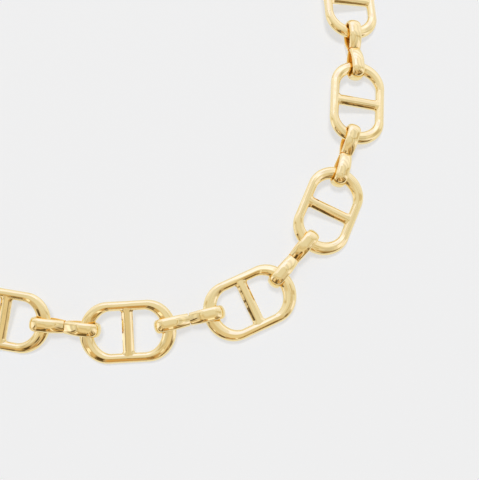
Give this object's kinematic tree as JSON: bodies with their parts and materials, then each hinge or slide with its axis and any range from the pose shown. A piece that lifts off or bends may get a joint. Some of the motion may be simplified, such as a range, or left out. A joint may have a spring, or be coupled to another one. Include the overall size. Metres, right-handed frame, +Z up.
{
  "type": "mariner link chain necklace",
  "caption": "Closed necklace of oval links with a bar across the middle, joined by small figure-eight connectors that stand on edge, lying as a flat loop.",
  "frame": {"origin": "middle of the loop's box, on the surface that the chain lies on", "axes": "+Z up from the surface, +Y along the loop's longer side towards the clasp, +X to the right in the picture"},
  "size_m": [0.142, 0.1598, 0.0068],
  "materials": {
    "gold_plate": "polished pale gold plate"
  },
  "bodies": {
    "root": {"link_01": "gold_plate", "link_02": "gold_plate", "link_03": "gold_plate", "link_04": "gold_plate", "link_05": "gold_plate", "link_06": "gold_plate", "link_07": "gold_plate", "link_08": "gold_plate", "link_09": "gold_plate", "link_10": "gold_plate", "link_11": "gold_plate", "link_12": "gold_plate", "link_13": "gold_plate", "link_14": "gold_plate", "connector_01": "gold_plate", "connector_02": "gold_plate", "connector_03": "gold_plate", "connector_04": "gold_plate", "connector_05": "gold_plate", "connector_06": "gold_plate", "connector_07": "gold_plate", "connector_08": "gold_plate", "connector_09": "gold_plate", "connector_10": "gold_plate", "connector_11": "gold_plate", "connector_12": "gold_plate", "connector_13": "gold_plate", "clasp": "gold_plate"}
  },
  "joints": []
}
